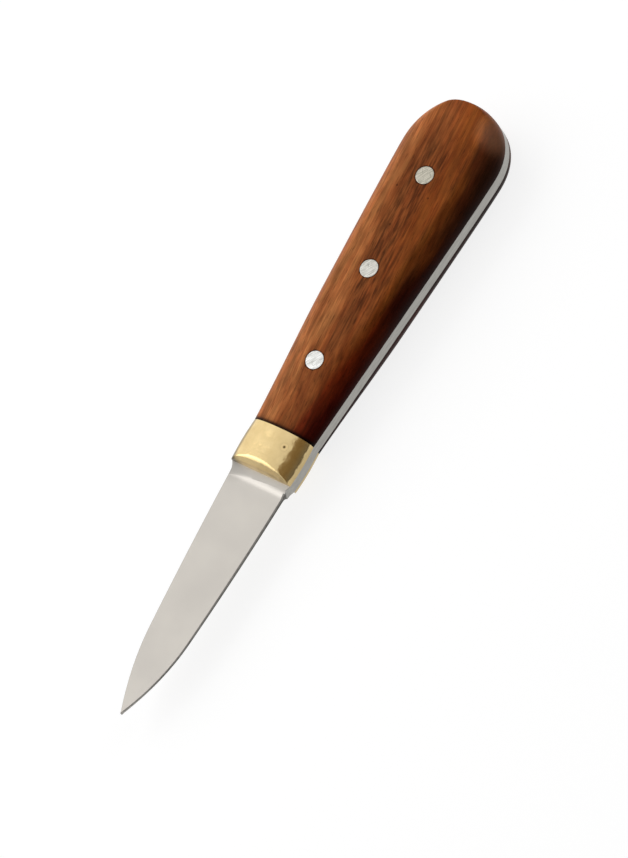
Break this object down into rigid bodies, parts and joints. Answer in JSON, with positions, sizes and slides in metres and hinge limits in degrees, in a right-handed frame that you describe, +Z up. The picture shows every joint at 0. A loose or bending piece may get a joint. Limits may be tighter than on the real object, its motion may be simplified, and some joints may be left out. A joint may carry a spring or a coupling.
{
  "type": "oyster knife",
  "caption": "Short full-tang knife for opening oysters: spear-shaped ground blade, brass bolsters and crowned hardwood scales held by flush rivets.",
  "frame": {"origin": "middle of the bounding box, on the surface that the knife lies on", "axes": "the point looks along -X and the end of the handle along +X, the cutting edge looks along -Y, +Z is up out of the face of the handle"},
  "size_m": [0.17, 0.0274, 0.0148],
  "materials": {
    "steel": "ground and satin polished stainless steel",
    "hardwood": "oiled red-brown hardwood, sanded smooth",
    "brass": "cast brass, filed and polished",
    "rivet_metal": "peened and sanded flush"
  },
  "bodies": {
    "root": {"blade_and_tang": "steel", "upper_scale": "hardwood", "lower_scale": "hardwood", "upper_bolster": "brass", "lower_bolster": "brass", "front_rivet": "rivet_metal", "middle_rivet": "rivet_metal", "rear_rivet": "rivet_metal", "bolster_pin": "brass"}
  },
  "joints": []
}
